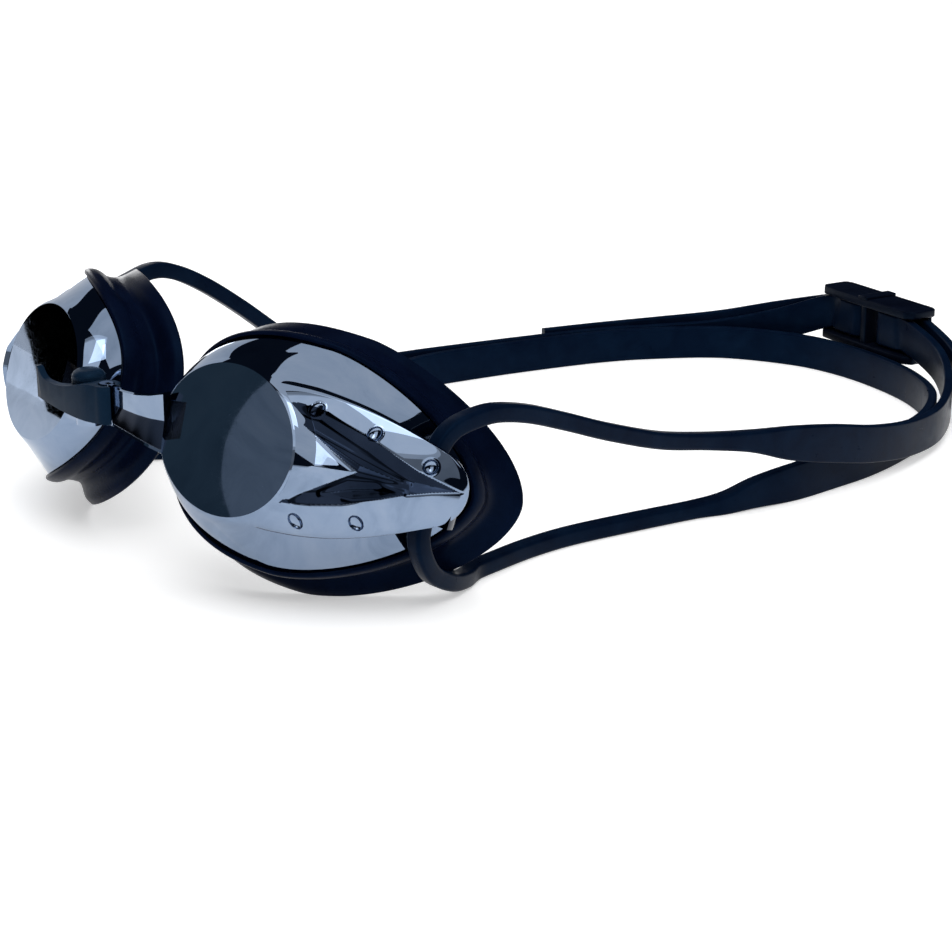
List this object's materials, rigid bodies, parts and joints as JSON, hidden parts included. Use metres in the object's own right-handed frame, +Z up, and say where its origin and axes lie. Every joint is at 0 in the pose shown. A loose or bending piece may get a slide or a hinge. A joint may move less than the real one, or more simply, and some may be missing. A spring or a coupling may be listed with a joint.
{
  "type": "swim goggles",
  "caption": "Racing swim goggles with mirrored eyecups, soft gaskets, a clip-on nose bridge and a split strap doubled back through a ladder clip.",
  "frame": {"origin": "on the floor, midway between the eyecups from side to side, at the windows' middles from front to back", "axes": "+X to the wearer's left, the front of the eyecups faces -Y, the strap runs back along +Y, +Z up"},
  "size_m": [0.1366, 0.2245, 0.0494],
  "materials": {
    "left_lens": "blue mirror coating over dark polycarbonate",
    "right_lens": "blue mirror coating over dark polycarbonate",
    "gasket": "satin silicone",
    "bridge": "satin moulded plastic",
    "strap": "satin silicone",
    "clip": "satin moulded plastic"
  },
  "bodies": {
    "bridge": {"nose_bridge": "bridge", "left_strap_loop": "strap", "right_strap_loop": "strap"},
    "left_cup": {"left_lens": "left_lens", "left_gasket": "gasket"},
    "right_cup": {"right_lens": "right_lens", "right_gasket": "gasket"},
    "strap": {"left_upper_strand": "strap", "right_upper_strand": "strap", "left_lower_strand": "strap", "right_lower_strand": "strap", "left_upper_band": "strap", "right_upper_band": "strap", "lower_back_band": "strap", "left_tail": "strap", "right_tail": "strap", "strap_clip": "clip"}
  },
  "joints": [
    {"name": "left_cup_flex", "type": "hinge", "parent": "bridge", "child": "left_cup", "pos_m": [-0.0015, -0.0036, 0.0322], "axis": [0, 0, 1], "range_deg": [-5, 5], "stiffness_Nm_per_rad": 0.4, "deforming": ["left_strap_loop"]},
    {"name": "right_cup_flex", "type": "hinge", "parent": "bridge", "child": "right_cup", "pos_m": [-0.0094, -0.0024, 0.0322], "axis": [0, 0, 1], "range_deg": [-5, 5], "stiffness_Nm_per_rad": 0.4, "deforming": ["right_strap_loop"]},
    {"name": "strap_swing", "type": "hinge", "parent": "bridge", "child": "strap", "pos_m": [0, 0.058, 0.02], "axis": [1, 0, 0], "range_deg": [0, 35], "deforming": ["left_strap_loop", "right_strap_loop"]}
  ]
}
